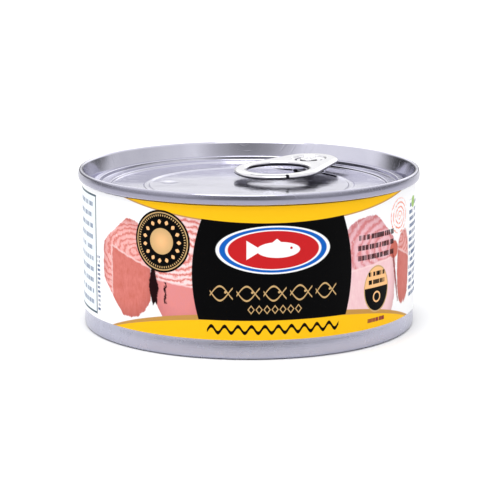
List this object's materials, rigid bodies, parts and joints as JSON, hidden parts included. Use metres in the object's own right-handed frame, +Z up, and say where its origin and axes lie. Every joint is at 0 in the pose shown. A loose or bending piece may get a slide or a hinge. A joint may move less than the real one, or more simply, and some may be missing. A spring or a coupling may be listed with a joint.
{
  "type": "tuna can",
  "caption": "Round, squat sealed food can with a seamed easy-open lid, a pull tab held by a rivet, and a printed paper label round its wall.",
  "frame": {"origin": "centre of the circle that the can stands on", "axes": "+Z up along the can's axis; -Y towards the front of the label; the pull tab's nose points between +X and +Y"},
  "size_m": [0.0873, 0.0872, 0.0402],
  "materials": {
    "can_body": "tinplate with a satin silver lacquer",
    "lid": "smooth satin aluminium with pressed rings",
    "pull_tab": "bright polished metal",
    "label": "glossy printed paper in yellow, black and white"
  },
  "bodies": {
    "root": {"can_body": "can_body", "lid": "lid", "pull_tab": "pull_tab", "label": "label"}
  },
  "joints": []
}
